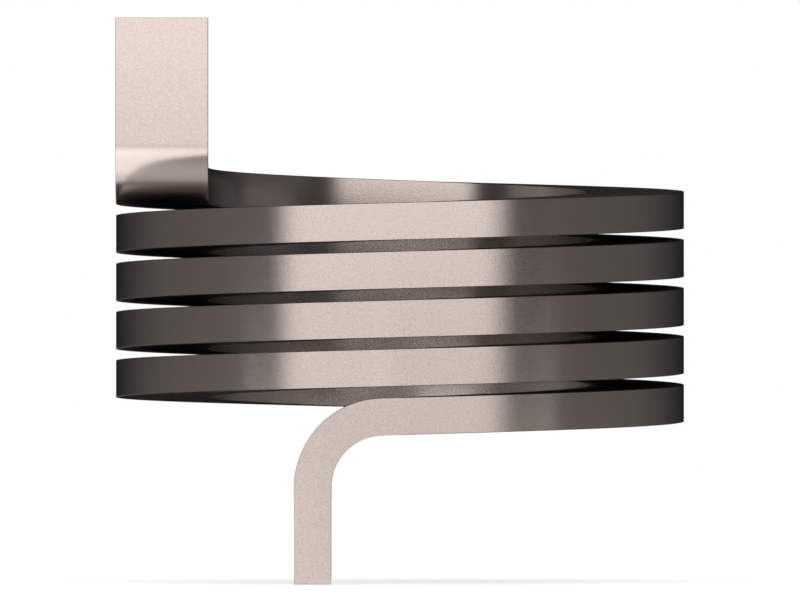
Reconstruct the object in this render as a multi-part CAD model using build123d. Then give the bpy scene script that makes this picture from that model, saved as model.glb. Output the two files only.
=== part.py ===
"""Governor spring: a torsion spring of flat wire, wound on edge, with a tang bent along the axis at each end.

Millimetres, +Z up along the coil's axis. The origin is on that axis, level with the middle of the wire
where the coil begins, at the front (-Y). The coil climbs to the right at the front, as a right-hand screw
does, and ends at the left (-X). The front tang points down from the coil's beginning, and the left tang
points up from its end.
"""
import os
from math import cos, pi, radians, sin

from build123d import *

# Flat wire: its long side lies along the coil's radius
wire_width = 5.0
wire_height = 2.0

# Coil
mean_diameter = 25.7
pitch = 2.61
turns = 4.75
begin_angle = 270.0

# Tang below the coil: the straight lead off the coil, the inside of the bend, and how far down its tip is
lower_lead = 1.0
lower_bend_radius = 2.8
lower_tang_reach = 9.0

# Tang above the coil, with the same three sizes
upper_lead = 1.0
upper_bend_radius = 1.25
upper_tang_reach = 9.05

# How far the rough coil stands proud of the round faces that trim it
trim_allowance = 0.5

outside_radius = (mean_diameter + wire_width) / 2
inside_radius = (mean_diameter - wire_width) / 2
coil_rise = pitch * turns


def coil_centre_line():
    """The middle of the wire all along the coil, a helix about the Z axis."""
    return Rot(0, 0, begin_angle) * Helix(pitch, coil_rise, mean_diameter / 2)


def coil_body(centre_line):
    """The turns: a wide helical strip, trimmed to true cylinders inside and out."""
    begin = centre_line @ 0
    square_to_wire = Plane(origin=begin, x_dir=Vector(begin.X, begin.Y, 0), z_dir=centre_line % 0)
    strip_section = square_to_wire * Rectangle(wire_width + 2 * trim_allowance, wire_height)
    strip = sweep(strip_section, path=centre_line, is_frenet=True)
    tube_length = coil_rise + 4 * wire_height
    tube = Cylinder(outside_radius, tube_length) - Cylinder(inside_radius, tube_length)
    return strip & (Pos(0, 0, coil_rise / 2) * tube)


def tang_centre_line(end, heading, lead, bend_radius, reach, up):
    """The middle of the wire past the coil's end: a straight lead, the bend, and the tang along the axis.

    end is where the coil stops, heading is the way the wire leaves it, and up is 1 or -1. The wire leaves
    at the coil's own slope, so the bend is a little short of a right angle and meets the lead smoothly.
    """
    axis = Vector(0, 0, up)
    level = Vector(heading.X, heading.Y, 0).normalized()
    slope = radians(90 - heading.get_angle(axis))
    centre_radius = bend_radius + wire_height / 2
    bend_begin = end + heading * lead
    bend_end = bend_begin + level * centre_radius * (1 - sin(slope)) + axis * centre_radius * cos(slope)
    tip = Vector(bend_end.X, bend_end.Y, end.Z + up * reach)
    return Line(end, bend_begin) + TangentArc(bend_begin, bend_end, tangent=heading) + Line(bend_end, tip)


def governor_spring():
    """The whole spring, one length of wire."""
    centre_line = coil_centre_line()
    begin = centre_line @ 0
    finish = centre_line @ 1
    coil = coil_body(centre_line)
    wire_ends = coil.faces().filter_by(GeomType.PLANE)
    begin_face = wire_ends.sort_by_distance(begin)[0]
    finish_face = wire_ends.sort_by_distance(finish)[0]
    lower_line = tang_centre_line(
        begin, -(centre_line % 0), lower_lead, lower_bend_radius, lower_tang_reach, -1
    )
    upper_line = tang_centre_line(
        finish, centre_line % 1, upper_lead, upper_bend_radius, upper_tang_reach, 1
    )
    return coil + sweep(begin_face, path=lower_line) + sweep(finish_face, path=upper_line)


spring = governor_spring()
wire_in_coil = turns * ((pi * mean_diameter) ** 2 + pitch**2) ** 0.5
print("outside diameter", 2 * outside_radius, "inside diameter", 2 * inside_radius)
print("coil height", round(coil_rise + wire_height, 2), "gap between turns", round(pitch - wire_height, 3))
print("wire in the coil", round(wire_in_coil, 2), "spring index", round(mean_diameter / wire_width, 2))
print("volume", round(spring.volume, 1), "valid", spring.is_valid, "box", spring.bounding_box())

os.makedirs("parts", exist_ok=True)
export_step(spring, "parts/governor_spring.step")
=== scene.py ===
# %% [markdown]
# A governor spring: one length of flat spring wire, wound on edge into an open coil, with a tang bent
# along the axis at each end. The engineering model is loaded first and is never moved, so every size
# here has to agree with it. Everything is in metres, the coil's axis is Z, and the camera looks along +Y.

# %% Load the engineering model
from math import atan, atan2, cos, hypot, pi, radians, sin

import bpy
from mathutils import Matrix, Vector


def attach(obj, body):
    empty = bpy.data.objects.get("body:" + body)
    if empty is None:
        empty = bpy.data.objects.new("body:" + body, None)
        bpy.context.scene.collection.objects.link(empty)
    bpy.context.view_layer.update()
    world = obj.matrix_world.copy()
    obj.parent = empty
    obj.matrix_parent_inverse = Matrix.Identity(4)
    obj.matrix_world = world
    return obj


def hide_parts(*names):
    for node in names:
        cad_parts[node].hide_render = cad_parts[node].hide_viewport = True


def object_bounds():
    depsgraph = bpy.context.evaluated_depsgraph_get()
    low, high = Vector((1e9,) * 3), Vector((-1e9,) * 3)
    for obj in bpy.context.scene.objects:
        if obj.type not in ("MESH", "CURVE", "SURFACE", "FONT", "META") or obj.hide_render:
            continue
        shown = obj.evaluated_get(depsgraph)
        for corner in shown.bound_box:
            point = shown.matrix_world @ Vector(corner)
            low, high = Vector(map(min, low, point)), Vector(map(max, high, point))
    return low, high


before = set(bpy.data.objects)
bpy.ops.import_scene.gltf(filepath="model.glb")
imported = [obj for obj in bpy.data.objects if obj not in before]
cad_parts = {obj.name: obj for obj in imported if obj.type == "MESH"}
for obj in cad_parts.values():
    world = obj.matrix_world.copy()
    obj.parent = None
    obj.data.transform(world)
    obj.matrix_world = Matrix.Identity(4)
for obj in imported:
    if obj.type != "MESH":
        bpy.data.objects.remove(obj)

cad_low, cad_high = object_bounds()
print("engineering model from", tuple(cad_low), "to", tuple(cad_high))
bpy.ops.object.select_all(action="DESELECT")

# %% [markdown]
# The sizes of the spring, the same as the engineering model's. The wire's long side lies along the coil's
# radius, which is what winding on edge means. The coil climbs like a right-hand screw, and its slope is
# the angle of a pitch against a turn laid out straight. A bend's radius here is the wire's middle line's.

# %% Sizes of the spring
MM = 0.001
WIRE_WIDTH = 5.0 * MM
WIRE_HEIGHT = 2.0 * MM
MEAN_RADIUS = 12.85 * MM
PITCH = 2.61 * MM
TURNS = 4.75
BEGIN_ANGLE = radians(270)
LOWER_LEAD = 1.0 * MM
LOWER_BEND = 2.8 * MM + WIRE_HEIGHT / 2
LOWER_REACH = 9.0 * MM
UPPER_LEAD = 1.0 * MM
UPPER_BEND = 1.25 * MM + WIRE_HEIGHT / 2
UPPER_REACH = 9.05 * MM
COIL_RISE = PITCH * TURNS
ONE_TURN = 2 * pi * MEAN_RADIUS
COIL_LENGTH = ONE_TURN * TURNS
SLOPE = atan(PITCH / ONE_TURN)
print("the coil rises", COIL_RISE, "and its slope is", SLOPE)

# %% [markdown]
# The photograph was taken from far away and level, with almost no perspective: the front and the back of
# the coil are nearly the same size. So the camera stands about a metre and a half away with a very long
# lens. The lens follows from the distance, because both are known in pixels of the picture.

# %% Camera
PIXELS_PER_MM = 18.5
CAMERA_DISTANCE_PX = 27000
CAMERA_HEIGHT = 6.221 * MM
FRAME_WIDTH_PX = 800
camera_data = bpy.data.cameras.new("camera")
camera_data.sensor_width = 36.0
camera_data.lens = camera_data.sensor_width * CAMERA_DISTANCE_PX / FRAME_WIDTH_PX
camera_data.clip_start = 0.05
camera_data.clip_end = 10.0
camera = bpy.data.objects.new("camera", camera_data)
bpy.context.scene.collection.objects.link(camera)
camera.location = (0, -CAMERA_DISTANCE_PX / PIXELS_PER_MM * MM, CAMERA_HEIGHT)
camera.rotation_euler = (radians(90), 0, 0)
bpy.context.scene.camera = camera
print("lens", camera_data.lens, "distance", -camera.location.y)

# %% [markdown]
# The wire is modelled here again, over the engineering model's solid, because the real wire has what that
# solid leaves out: its long edges are slightly rounded, and its surface has a direction, along the wire.
# It could be a bevelled curve, but a curve turns its section freely as it climbs. A Screw modifier keeps
# the section upright all the way round, as a winding machine does, so the coil comes from one rectangle.
# The rectangle stands upright, and its height is measured straight up, so it is a little more than the
# wire's thickness, which is measured square to the slope.

# %% The rectangle that is wound
bpy.ops.mesh.primitive_plane_add(size=1, location=(0, -MEAN_RADIUS, 0), rotation=(0, radians(90), 0))
wire = bpy.context.object
wire.name = "spring_wire"
wire.scale = (WIRE_HEIGHT / cos(SLOPE), WIRE_WIDTH, 1)
bpy.ops.object.transform_apply(location=True, rotation=True, scale=True)
bpy.ops.object.mode_set(mode="EDIT")
bpy.ops.mesh.select_mode(type="VERT")
bpy.ops.mesh.select_all(action="SELECT")
bpy.ops.mesh.delete(type="ONLY_FACE")
bpy.ops.object.mode_set(mode="OBJECT")
print("the rectangle has", len(wire.data.edges), "edges")

# %% Wind the coil
STEPS_PER_TURN = 240
screw = wire.modifiers.new("coil", "SCREW")
screw.axis = "Z"
screw.angle = 2 * pi * TURNS
screw.screw_offset = COIL_RISE
screw.steps = int(STEPS_PER_TURN * TURNS)
screw.render_steps = screw.steps
bpy.ops.object.modifier_apply(modifier=screw.name)
print("the wound coil has", len(wire.data.vertices), "vertices")

# %% [markdown]
# Each end of the wire leaves the coil straight for a millimetre and is then bent until it lies along the
# axis. On the bench that is done round a pin, and here it is done the same way: the end of the coil is
# turned until it is square to the wire and closed with a face, and then that face is extruded along the
# lead, spun round the pin's centre and extruded again along the tang. Because the wire leaves at the
# coil's own slope, the two bends turn through a little more or less than a right angle.

# %% Select by place
def select_vertices(piece, chosen):
    """Selects, in edit mode, the vertices of the piece whose place passes the test, and counts them."""
    bpy.ops.mesh.select_all(action="DESELECT")
    bpy.ops.object.mode_set(mode="OBJECT")
    for vertex in piece.data.vertices:
        vertex.select = chosen(vertex.co)
    count = sum(vertex.select for vertex in piece.data.vertices)
    bpy.ops.object.mode_set(mode="EDIT")
    return count


# %% Bend a tang
BEND_STEPS = 30


def bend_tang(end, heading, up, lead, bend_radius, reach):
    """Makes a tang from the selected end of the coil: up is 1 or -1, and reach is measured from end."""
    axis_way = Vector((0, 0, up))
    bend_axis = heading.cross(axis_way).normalized()
    centre = end + heading * lead + bend_axis.cross(heading) * bend_radius
    angle = heading.angle(axis_way)
    bpy.ops.mesh.edge_face_add()
    bpy.ops.mesh.extrude_region_move(TRANSFORM_OT_translate={"value": heading * lead})
    bpy.ops.mesh.spin(steps=BEND_STEPS, angle=-angle, center=centre, axis=bend_axis)
    straight = abs(end.z + up * reach - centre.z)
    bpy.ops.mesh.extrude_region_move(TRANSFORM_OT_translate={"value": axis_way * straight})
    print("tang bent through", angle, "with its straight part", straight)


# %% The tang below the coil
TOUCH = 0.001 * MM
OVER_HALF = 0.6 * WIRE_HEIGHT
COIL_BEGIN = Vector((0, -MEAN_RADIUS, 0))
LOWER_HEADING = Vector((-cos(SLOPE), 0, -sin(SLOPE)))
bpy.ops.object.mode_set(mode="EDIT")
count = select_vertices(wire, lambda p: abs(p.x) < TOUCH and p.y < 0 and abs(p.z) < OVER_HALF)
print("vertices at the coil's beginning", count)
bpy.ops.transform.rotate(value=SLOPE, orient_axis="Y", center_override=COIL_BEGIN)
bend_tang(COIL_BEGIN, LOWER_HEADING, -1, LOWER_LEAD, LOWER_BEND, LOWER_REACH)

# %% The tang above the coil
COIL_END = Vector((-MEAN_RADIUS, 0, COIL_RISE))
UPPER_HEADING = Vector((0, -cos(SLOPE), sin(SLOPE)))
count = select_vertices(wire, lambda p: abs(p.y) < TOUCH and p.x < 0 and abs(p.z - COIL_RISE) < OVER_HALF)
print("vertices at the coil's end", count)
bpy.ops.transform.rotate(value=SLOPE, orient_axis="X", center_override=COIL_END)
bend_tang(COIL_END, UPPER_HEADING, 1, UPPER_LEAD, UPPER_BEND, UPPER_REACH)

# %% Turn the faces outwards
bpy.ops.mesh.select_all(action="SELECT")
bpy.ops.mesh.normals_make_consistent(inside=False)
bpy.ops.object.mode_set(mode="OBJECT")
heights = [vertex.co.z for vertex in wire.data.vertices]
print("the wire goes from", min(heights), "to", max(heights))

# %% [markdown]
# Flat wire is rolled, and rolling leaves its four long edges slightly round, with no sharp corner to catch
# the light. A Bevel modifier on the edges that turn by more than 40 degrees takes all of them in one step,
# and the edges of the two cut ends with them. The broad faces stay truly flat in their shading because
# the bevel's hardened normals keep the turn inside the narrow strip.

# %% Break the edges
EDGE_BREAK = 0.025 * MM
SHARP = radians(40)
bpy.ops.object.shade_smooth_by_angle(angle=SHARP)
bevel = wire.modifiers.new("edge_break", "BEVEL")
bevel.limit_method = "ANGLE"
bevel.angle_limit = SHARP
bevel.width = EDGE_BREAK
bevel.segments = 3
bevel.use_clamp_overlap = False
bevel.harden_normals = True
bpy.ops.object.modifier_apply(modifier=bevel.name)
print("the wire has", len(wire.data.polygons), "faces")

# %% [markdown]
# The marks of rolling and polishing run along the wire, round every turn and through both bends. A pattern
# on plain object coordinates would cut straight across them, so each point gets its own place in the wire:
# how far along it lies, how far out from the wire's middle, and how far up. In the coil these follow from
# the point's angle and height. In a tang they follow from the lead, the bend and the straight part.

# %% Where a point is in the wire
HALF_AND_A_LITTLE = 0.52 * WIRE_HEIGHT


def place_in_tang(p, end, heading, up, lead, bend_radius):
    """How far past the coil's end, how far out from its axis and how far up in the section p is."""
    axis_way = Vector((0, 0, up))
    side = heading.cross(axis_way).normalized()
    inward = side.cross(heading)
    way = p - end
    arm = way - side * way.dot(side) - heading * lead - inward * bend_radius
    if arm.dot(heading) < 0:
        along, away = lead + arm.dot(heading), -arm.dot(inward) - bend_radius
    elif arm.dot(axis_way) > 0:
        away = arm.dot(axis_way.cross(side)) - bend_radius
        along = lead + bend_radius * heading.angle(axis_way) + arm.dot(axis_way)
    else:
        along, away = lead + bend_radius * arm.angle(-inward), arm.length - bend_radius
    return along, way.dot(side), -away * up


def middle_height(angle):
    """How high the wire's middle is after the coil has turned that far."""
    return PITCH * angle / (2 * pi)


def place_in_wire(p):
    """The same for any point of the wire, with the length counted from the coil's beginning."""
    inner = MEAN_RADIUS - WIRE_WIDTH
    if p.x < 0 and p.y < -inner and p.z < HALF_AND_A_LITTLE:
        along, out, rise = place_in_tang(p, COIL_BEGIN, LOWER_HEADING, -1, LOWER_LEAD, LOWER_BEND)
        return -along, out, rise
    if p.y < 0 and p.x < -inner and p.z > COIL_RISE - HALF_AND_A_LITTLE:
        along, out, rise = place_in_tang(p, COIL_END, UPPER_HEADING, 1, UPPER_LEAD, UPPER_BEND)
        return COIL_LENGTH + along, out, rise
    angle = (atan2(p.y, p.x) - BEGIN_ANGLE) % (2 * pi)
    angle += 2 * pi * round((p.z - middle_height(angle)) / PITCH)
    return MEAN_RADIUS * angle, hypot(p.x, p.y) - MEAN_RADIUS, p.z - middle_height(angle)


def is_on_flat(out, rise):
    """Whether that place in the section is on one of the wire's two flats, and not on its narrow sides."""
    return abs(rise) / WIRE_HEIGHT > abs(out) / WIRE_WIDTH


print("the coil ends", place_in_wire(COIL_END)[0] / MM, "millimetres along the wire")

# %% [markdown]
# The surface is laid out flat as a UV map, in millimetres along the wire and across it, with the four sides
# of the wire apart from each other. Four marks on the faces tell the material where it is: on a rounded
# edge, on a flat that the next turn covers, on a cut end, and in a bend. The first two carry painted shade,
# a dark line along each edge of the coil and dark flats between the turns. They are plain face attributes,
# which the material reads by name.

# %% Lay the wire's surface out flat
SIDE_GAP = 10 * MM
layout = wire.data.uv_layers.new(name="along_the_wire")
greatest = [0.0, 0.0, 0.0]
for face in wire.data.polygons:
    along, out, rise = place_in_wire(face.center)
    greatest = [max(so_far, abs(here)) for so_far, here in zip(greatest, (along, out, rise))]
    on_flat = is_on_flat(out, rise)
    apart = SIDE_GAP * (0 if on_flat else 1) + SIDE_GAP * (2 if rise + out > 0 else 0)
    for corner in face.loop_indices:
        along, out, rise = place_in_wire(wire.data.vertices[wire.data.loops[corner].vertex_index].co)
        layout.data[corner].uv = (along / MM, (apart + (out if on_flat else rise)) / MM)
print("greatest length, way out and rise in the wire, in millimetres", [round(g / MM, 3) for g in greatest])

# %% Mark the edges, the covered flats, the cut ends and the bends
# The strengths of the painted shade along the rounded edges: a dark line, full on the coil and weaker on the
# tangs.
COIL_EDGE_SHADE = 1.0
TANG_EDGE_SHADE = 0.35
ENDWISE = 0.99


def edge_shade_mark(face):
    """The strength of the painted shade, a dark line, on a rounded edge, which is weaker on the tangs, and 0
    elsewhere.
    """
    corners = [wire.data.vertices[v].co for v in face.vertices]
    narrowest = min((a - b).length for a, b in zip(corners, corners[1:] + corners[:1]))
    in_coil = 0 < place_in_wire(face.center)[0] < COIL_LENGTH
    return (COIL_EDGE_SHADE if in_coil else TANG_EDGE_SHADE) if narrowest < EDGE_BREAK else 0.0


def covered_flat_shade_mark(face):
    """1 on a flat that another turn covers, so not on top of the last turn or under the first; the material
    darkens these flats as painted shade.
    """
    along, out, rise = place_in_wire(face.center)
    first, last = (0, COIL_LENGTH - ONE_TURN) if rise > 0 else (ONE_TURN, COIL_LENGTH)
    return 1.0 if is_on_flat(out, rise) and first < along < last else 0.0


def cut_mark(face):
    """1 on the face across each tip."""
    at_tip = min(abs(face.center.z - cad_low.z), abs(face.center.z - cad_high.z)) < TOUCH
    return 1.0 if at_tip and abs(face.normal.z) > ENDWISE else 0.0


def bend_mark(face):
    """1 in the middle of a bend's outer and inner face, falling off to 0 where the wire is straight."""
    along, out, rise = place_in_wire(face.center)
    past_coil = max(-along, along - COIL_LENGTH)
    lead, bend_radius = (LOWER_LEAD, LOWER_BEND) if along < 0 else (UPPER_LEAD, UPPER_BEND)
    share = (past_coil - lead) / (bend_radius * pi / 2)
    return sin(pi * share) if is_on_flat(out, rise) and 0 < share < 1 else 0.0


MARKS = {"edge": edge_shade_mark, "covered": covered_flat_shade_mark, "cut": cut_mark, "bend": bend_mark}
for name, mark in MARKS.items():
    marks = wire.data.attributes.new(name, "FLOAT", "FACE")
    for face in wire.data.polygons:
        marks.data[face.index].value = mark(face)
    print("faces marked", name, sum(m.value > 0 for m in marks.data))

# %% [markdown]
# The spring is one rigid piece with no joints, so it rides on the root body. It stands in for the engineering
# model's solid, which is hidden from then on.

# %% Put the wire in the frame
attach(wire, "root")
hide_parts("governor_spring")
print(wire.name, "rides on root and stands in for governor_spring")

# %% [markdown]
# A material is a network of nodes, and written out one by one they hide what they mean. Two small classes
# keep it short. Shader adds any node with its settings and the values or links of its sockets. Number wraps
# a socket that carries a number, so that Python's own signs add the Math nodes.


# %% Add nodes
class Shader:
    """Adds nodes to one material or world."""

    def __init__(self, owner):
        owner.use_nodes = True
        self.tree = owner.node_tree
        self.tree.nodes.clear()

    def node(self, kind, settings=None, **sockets):
        """Adds a node. A socket is named with _ for a space, or _0, _1 and so on by its place."""
        made = self.tree.nodes.new(kind)
        for name, value in (settings or {}).items():
            setattr(made, name, value)
        for name, value in sockets.items():
            socket = made.inputs[int(name[1:]) if name[0] == "_" else name.replace("_", " ")]
            value = value.socket if isinstance(value, Number) else value
            if isinstance(value, bpy.types.NodeSocket):
                self.tree.links.new(value, socket)
            else:
                socket.default_value = value
        return made

    def number(self, kind, output=0, settings=None, **sockets):
        """Adds a node and gives its output as a number."""
        return Number(self, self.node(kind, settings, **sockets).outputs[output])

    def mix(self, share, first, second):
        """A colour between two others."""
        return self.node("ShaderNodeMix", {"data_type": "RGBA"}, _0=share, _6=first, _7=second).outputs[2]


# %% Calculate with nodes
class Number:
    """A number on its way through the shader, which Python can add, multiply and so on."""

    def __init__(self, shader, socket):
        self.shader = shader
        self.socket = socket

    def math(self, operation, *others):
        """Adds a Math node that works on this number and the others."""
        inputs = {f"_{i}": number for i, number in enumerate((self, *others))}
        return self.shader.number("ShaderNodeMath", settings={"operation": operation}, **inputs)

    def __add__(self, other):
        return self.math("ADD", other)

    __radd__ = __add__

    def __mul__(self, other):
        return self.math("MULTIPLY", other)

    __rmul__ = __mul__

    def __sub__(self, other):
        return self.math("SUBTRACT", other)

    def __rsub__(self, other):
        return self * -1.0 + other

    def ramp(self, low, high, out_low=0.0, out_high=1.0):
        """Goes smoothly from out_low, at low, to out_high, at high."""
        return self.shader.number(
            "ShaderNodeMapRange",
            settings={"interpolation_type": "SMOOTHSTEP"},
            _0=self, _1=low, _2=high, _3=out_low, _4=out_high,
        )


# %% [markdown]
# The steel is bright and a little warm, and it is all metal, so its colour only tints what it reflects. Its
# finish is a fine satin: a speckle much smaller than the wire, with faint lines along it. Both come from
# noise, one on object coordinates and one on the flat layout, stretched along the wire. They vary the
# colour a little and tilt the surface a very little, and that gives the reflections their grain. Where the
# next turn lies close, the steel is duller, and its colour is darkened nearly to black, painted shade between
# the turns. The rounded edges of the coil are painted dark too, as a line of painted shade, and the cut ends
# are rougher. Bending stretches the skin of the wire, so the outer and inner faces of the bends are a little
# duller, and their grain fades.

# %% The steel's numbers
STEEL = (0.62, 0.523, 0.482)
SPECKLES_PER_METRE = 14500.0
SPECKLE_RANGE = (0.25, 0.75)
SPECKLE_SHARE = 0.8
LINE_STRETCH = (0.25, 8.0, 1.0)
LINE_HEIGHT = 0.3
GRAIN_DEPTH = 0.002 * MM
GRAIN_MIDDLE = 0.5
GRAIN_DARKEST = 0.87
GRAIN_LIGHTEST = 1.13
BEND_FADE_RANGE = (0.0, 0.3)
BEND_FADE = 0.7
# The marks darken the steel: covered and edge as painted shade between the turns and along the coil's edges,
# cut as the sheared ends' own darker tone.
MARK_TONES_AND_SHADES = {"cut": 0.7, "covered": 0.12, "edge": 0.08}
MARK_ROUGHNESS = {"edge": 0.17, "covered": 0.35, "cut": 0.2, "bend": 0.06}
LINE_ROUGHNESS = 0.03
POLISHED_ROUGHNESS = 0.16


def tone(factor):
    """The steel's colour made darker or lighter."""
    return tuple(channel * factor for channel in STEEL) + (1.0,)


for name, factor in MARK_TONES_AND_SHADES.items():
    print("the steel's colour where it is marked", name, [round(c, 3) for c in tone(factor)])


# %% Spring steel
def spring_steel():
    material = bpy.data.materials.new("spring_steel")
    s = Shader(material)
    coordinates = s.node("ShaderNodeTexCoord").outputs
    speckle = s.number(
        "ShaderNodeTexNoise",
        Vector=coordinates["Object"], Scale=SPECKLES_PER_METRE, Detail=3.0, Roughness=0.6,
    )
    stretched = s.node(
        "ShaderNodeVectorMath", {"operation": "MULTIPLY"}, _0=coordinates["UV"], _1=LINE_STRETCH
    ).outputs[0]
    lines = s.number("ShaderNodeTexNoise", Vector=stretched, Scale=1.0, Detail=2.0, Roughness=0.5)
    marked = {name: s.number("ShaderNodeAttribute", 2, settings={"attribute_name": name}) for name in MARKS}
    grain = speckle.ramp(*SPECKLE_RANGE) * SPECKLE_SHARE + lines * (1 - SPECKLE_SHARE)
    grain_left = 1 - marked["bend"].ramp(*BEND_FADE_RANGE) * BEND_FADE
    lightness = (grain - GRAIN_MIDDLE) * grain_left + GRAIN_MIDDLE
    face = s.mix(lightness, tone(GRAIN_DARKEST), tone(GRAIN_LIGHTEST))
    # Painted shade on the covered flats and the coil's edges, and the cut ends' own darker tone.
    for name, factor in MARK_TONES_AND_SHADES.items():
        face = s.mix(marked[name], face, tone(factor))
    height = speckle + lines * LINE_HEIGHT
    bump = s.node("ShaderNodeBump", Height=height, Strength=1.0, Distance=GRAIN_DEPTH)
    rougher = sum(marked[name] * factor for name, factor in MARK_ROUGHNESS.items())
    surface = s.node(
        "ShaderNodeBsdfPrincipled",
        Base_Color=face, Metallic=1.0, Normal=bump.outputs[0],
        Roughness=rougher + lines * LINE_ROUGHNESS + POLISHED_ROUGHNESS,
    )
    s.node("ShaderNodeOutputMaterial", Surface=surface.outputs[0])
    return material


wire.data.materials.append(spring_steel())
print("nodes in the steel", len(wire.data.materials[0].node_tree.nodes))

# %% [markdown]
# Polished metal has hardly a look of its own: it shows what stands round it. The photograph's light can be
# read from the spring like a mirror, and it is made again with glowing sheets that only the metal's
# reflections see, so that they neither light the floor nor show in the picture. How brightly a sheet glows
# at a point comes from ramps. Each has four numbers: where it starts, where it ends, and its value at the
# start and at the end. Without the last two, it goes from 0 to 1. Where one turn mirrors another, the steel
# would tint the light twice and turn brown, which the photograph doesn't show. So light that is reflected a
# second time starts out cooler, and the card and the tent also start out dimmer for later reflections.

# %% Light for the reflections
HALF_A_STEP = 0.5
LATER_GLOW = 0.45
WHITE = (1, 1, 1, 1)


def reflections_under(s, limit):
    """1 for light that the camera sees after fewer reflections than the limit, and 0 for more."""
    return s.number("ShaderNodeLightPath", "Ray Depth").math("LESS_THAN", limit - HALF_A_STEP)


def dimmed_after(s, reflections, factor):
    """1 for light that the camera sees after up to that many reflections, and factor after more."""
    return reflections_under(s, reflections + 1) * (1 - factor) + factor


def untinted(times):
    """The colour that the steel turns back to its own when it reflects it that many times too often."""
    return tuple((STEEL[0] / channel) ** times for channel in STEEL) + (1.0,)


def light_colour(s):
    """White at first, and cooler for light that is reflected a second or a third time."""
    later = s.mix(reflections_under(s, 3), untinted(2), untinted(1))
    return s.mix(reflections_under(s, 2), later, WHITE)


for times in (1, 2):
    print("light reflected", times + 1, "times starts out as", [round(c, 3) for c in untinted(times)])


# %% Sheets that only reflections see
def place(s):
    """The point's x, y and z."""
    split = s.node("ShaderNodeSeparateXYZ", Vector=s.node("ShaderNodeTexCoord").outputs["Object"])
    return [Number(s, axis) for axis in split.outputs]


def glow(name, strength):
    """A material that only glows, as strongly as strength says for its shader."""
    material = bpy.data.materials.new(name)
    s = Shader(material)
    light = s.node("ShaderNodeEmission", Color=light_colour(s), Strength=strength(s))
    s.node("ShaderNodeOutputMaterial", Surface=light.outputs[0])
    return material


def reflector(name, strength):
    """Makes the active object a sheet that only reflections see."""
    sheet = bpy.context.object
    sheet.name = name
    bpy.ops.object.transform_apply(location=True, rotation=True, scale=True)
    sheet.data.materials.append(glow(name, strength))
    sheet.visible_camera = False
    sheet.visible_diffuse = False
    sheet.visible_shadow = False
    print(name, "measures", tuple(sheet.dimensions))


# %% [markdown]
# The floor is plain and pale, and level with the lower tang's tip. It keeps the spring's shadow. Its own glow
# is only for the camera and for what metal and glass show of it, so it looks as white as the photograph's
# without more light on the spring.

# %% Floor
FLOOR_Z = cad_low.z
FLOOR_PALE = (0.8, 0.8, 0.8, 1)
FLOOR_GLOW = 0.45
FLOOR_RADIUS = 0.6


def seen_directly(s):
    """1 for the camera, and for what metal and glass show of the background."""
    path = s.node("ShaderNodeLightPath").outputs
    camera_ray = Number(s, path["Is Camera Ray"])
    glossy_ray = Number(s, path["Is Glossy Ray"])
    return camera_ray + glossy_ray + Number(s, path["Is Transmission Ray"])


def floor_material():
    material = bpy.data.materials.new("floor")
    s = Shader(material)
    diffuse = s.node("ShaderNodeBsdfDiffuse", Color=FLOOR_PALE)
    light = s.node("ShaderNodeEmission", Color=light_colour(s), Strength=seen_directly(s) * FLOOR_GLOW)
    both = s.node("ShaderNodeAddShader", _0=diffuse.outputs[0], _1=light.outputs[0])
    s.node("ShaderNodeOutputMaterial", Surface=both.outputs[0])
    return material


bpy.ops.object.select_all(action="DESELECT")
bpy.ops.mesh.primitive_circle_add(
    vertices=96, radius=FLOOR_RADIUS, fill_type="NGON", location=(0, 0, FLOOR_Z)
)
floor = bpy.context.object
floor.name = "floor"
bpy.ops.object.transform_apply(location=True, rotation=True, scale=True)
floor.data.materials.append(floor_material())
print("the floor is at", FLOOR_Z)

# %% [markdown]
# A white tent hangs over the spring, because shiny things are often photographed in one. It is a whole sphere
# round the scene, and its ramps count in radii. It is bright in front, dark across its middle and paler at
# the back, and it is dimmer towards the floor and at its very top.

# %% White tent overhead
TENT_RADIUS = 0.55
TENT_RISE = (0.35, 0.85, 0.3, 1.03)
TENT_TOP = (0.92, 1.0, 0.0, 0.4)
TENT_FRONT = (-0.05, 0.25, 1.0, 0.2)
TENT_BACK = (0.4, 0.75, 0.0, 0.55)


def tent_light(s):
    _, y, z = (axis * (1 / TENT_RADIUS) for axis in place(s))
    height = z.ramp(*TENT_RISE) - z.ramp(*TENT_TOP)
    depth = y.ramp(*TENT_FRONT) + y.ramp(*TENT_BACK)
    return height * depth * dimmed_after(s, 2, LATER_GLOW)


bpy.ops.mesh.primitive_uv_sphere_add(segments=64, ring_count=32, radius=TENT_RADIUS, location=(0, 0, FLOOR_Z))
reflector("tent", tent_light)

# %% [markdown]
# A bright card faces the spring from the front, and the outsides of the turns mirror it. It is dark at its
# sides, and that makes the coil look round. It is dimmer at its foot and at its top. A small patch at its
# foot, left of the middle, glows more.

# %% Bright card in front
CARD_Y = -0.12
CARD_WIDTH = 0.50
CARD_HEIGHT = 0.065
CARD_SIDES = 0.07
CARD_LEFT = (-0.149, -0.099)
CARD_RIGHT = (0.124, 0.0745)
CARD_RISE = (0.0, 0.03, 0.91, 1.49)
CARD_FOOT = (-0.010, 0.002, 0.86, 1.0)
CARD_TOP = (0.035, 0.056, 0.0, 0.8)
PATCH_LEFT = (-0.026, -0.018)
PATCH_RIGHT = (-0.011, -0.008, 0.7, 0.0)
PATCH_RISE = (-0.005, 0.0, 1.0, 0.0)


def front_light(s):
    x, _, z = place(s)
    across = x.ramp(*CARD_LEFT) * x.ramp(*CARD_RIGHT)
    up = z.ramp(*CARD_RISE) * z.ramp(*CARD_FOOT) - z.ramp(*CARD_TOP)
    patch = x.ramp(*PATCH_LEFT) * x.ramp(*PATCH_RIGHT) * z.ramp(*PATCH_RISE)
    return (across * (up - CARD_SIDES) + CARD_SIDES + patch) * dimmed_after(s, 1, LATER_GLOW)


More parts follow.
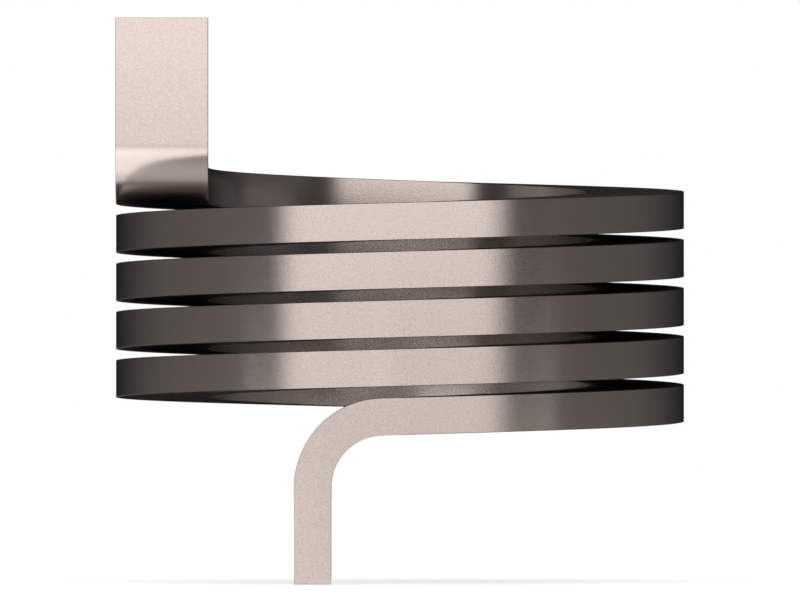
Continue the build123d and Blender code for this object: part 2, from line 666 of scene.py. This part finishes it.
bpy.ops.mesh.primitive_plane_add(
    size=1, location=(0, CARD_Y, FLOOR_Z + CARD_HEIGHT / 2), rotation=(radians(90), 0, 0)
)
bpy.context.object.scale = (CARD_WIDTH, CARD_HEIGHT, 1)
reflector("front_card", front_light)

# %% [markdown]
# Two sheets lie just above the floor, for the surfaces of the spring that face down. The one in front is
# white, and brightest at its left and nearest the camera. The one behind is dark, all but its front edge.

# %% Bright floor in front, and dark floor behind
ABOVE_FLOOR = 0.3 * MM
BOUNCE_GLOW = 1.05
BOUNCE_LEFT = (-0.014, -0.006, 1.0, 0.0)
BOUNCE_NEAR = (-0.080, -0.030, 0.75, 0.43)
BEHIND_NEAR = (-0.010, -0.005, 1.3, 0.02)


def bounce_light(s):
    x, y, _ = place(s)
    return x.ramp(*BOUNCE_LEFT) * y.ramp(*BOUNCE_NEAR) + BOUNCE_GLOW


def behind_light(s):
    _, y, _ = place(s)
    return y.ramp(*BEHIND_NEAR)


def floor_sheet(name, strength, y, width, depth):
    """Lays a sheet just above the floor, with its middle at y."""
    bpy.ops.mesh.primitive_plane_add(size=1, location=(0, y, FLOOR_Z + ABOVE_FLOOR))
    bpy.context.object.scale = (width, depth, 1)
    reflector(name, strength)


floor_sheet("bounce_card", bounce_light, y=-0.0675, width=0.24, depth=0.103)
floor_sheet("dark_strip", behind_light, y=0.034, width=0.044, depth=0.090)

# %% [markdown]
# A dark flag stands round the sides and the back of the spring, as black cloth is put beside shiny things to
# give them dark edges. It is a cylinder whose front is cut away. It is darkest straight behind the spring,
# a little lighter at the left than at the right, and at the sides lighter towards its top.

# %% Dark flag round the sides and the back
FLAG_RADIUS = 0.08
FLAG_HEIGHT = 0.075
FLAG_FRONT = -0.53 * FLAG_RADIUS
FLAG_BACK = (0.005, 0.090, 0.124, 0.0)
FLAG_TO_THE_RIGHT = 0.6
FLAG_TOP = (0.028, 0.060, 0.0, 0.4)
FLAG_TOP_BACK = (0.02, 0.07, 1.0, 0.0)


def flag_light(s):
    x, y, z = place(s)
    top = z.ramp(*FLAG_TOP) * y.ramp(*FLAG_TOP_BACK)
    return y.ramp(*FLAG_BACK) * (1 - x * FLAG_TO_THE_RIGHT) + top


bpy.ops.mesh.primitive_cylinder_add(
    vertices=96, radius=FLAG_RADIUS, depth=FLAG_HEIGHT, end_fill_type="NOTHING",
    location=(0, 0, FLOOR_Z + FLAG_HEIGHT / 2),
)
reflector("dark_flag", flag_light)
flag = bpy.context.object
bpy.ops.object.mode_set(mode="EDIT")
bpy.ops.mesh.select_mode(type="VERT")
count = select_vertices(flag, lambda p: p.y < FLAG_FRONT)
bpy.ops.mesh.delete(type="VERT")
bpy.ops.object.mode_set(mode="OBJECT")
print("the flag lost", count, "vertices and has", len(flag.data.polygons), "faces")

# %% [markdown]
# The world is the soft light of a white room. It lights the floor at a plain level, and the camera sees it
# as pure white, which gives the picture its white background without more light on the spring. Metal and
# glass would show that white too, but in this scene the spring's reflections meet the tent first.

# %% World
ROOM_LIGHT = 0.85
world = bpy.data.worlds.new("world")
bpy.context.scene.world = world
s = Shader(world)
background = s.node(
    "ShaderNodeBackground", Color=WHITE, Strength=seen_directly(s) * (1 - ROOM_LIGHT) + ROOM_LIGHT
)
s.node("ShaderNodeOutputWorld", Surface=background.outputs[0])
print("nodes in the world", len(world.node_tree.nodes))

# %% [markdown]
# Last, the view is set to show colours about as they are written.

# %% Finish
bpy.context.scene.view_settings.view_transform = "Standard"
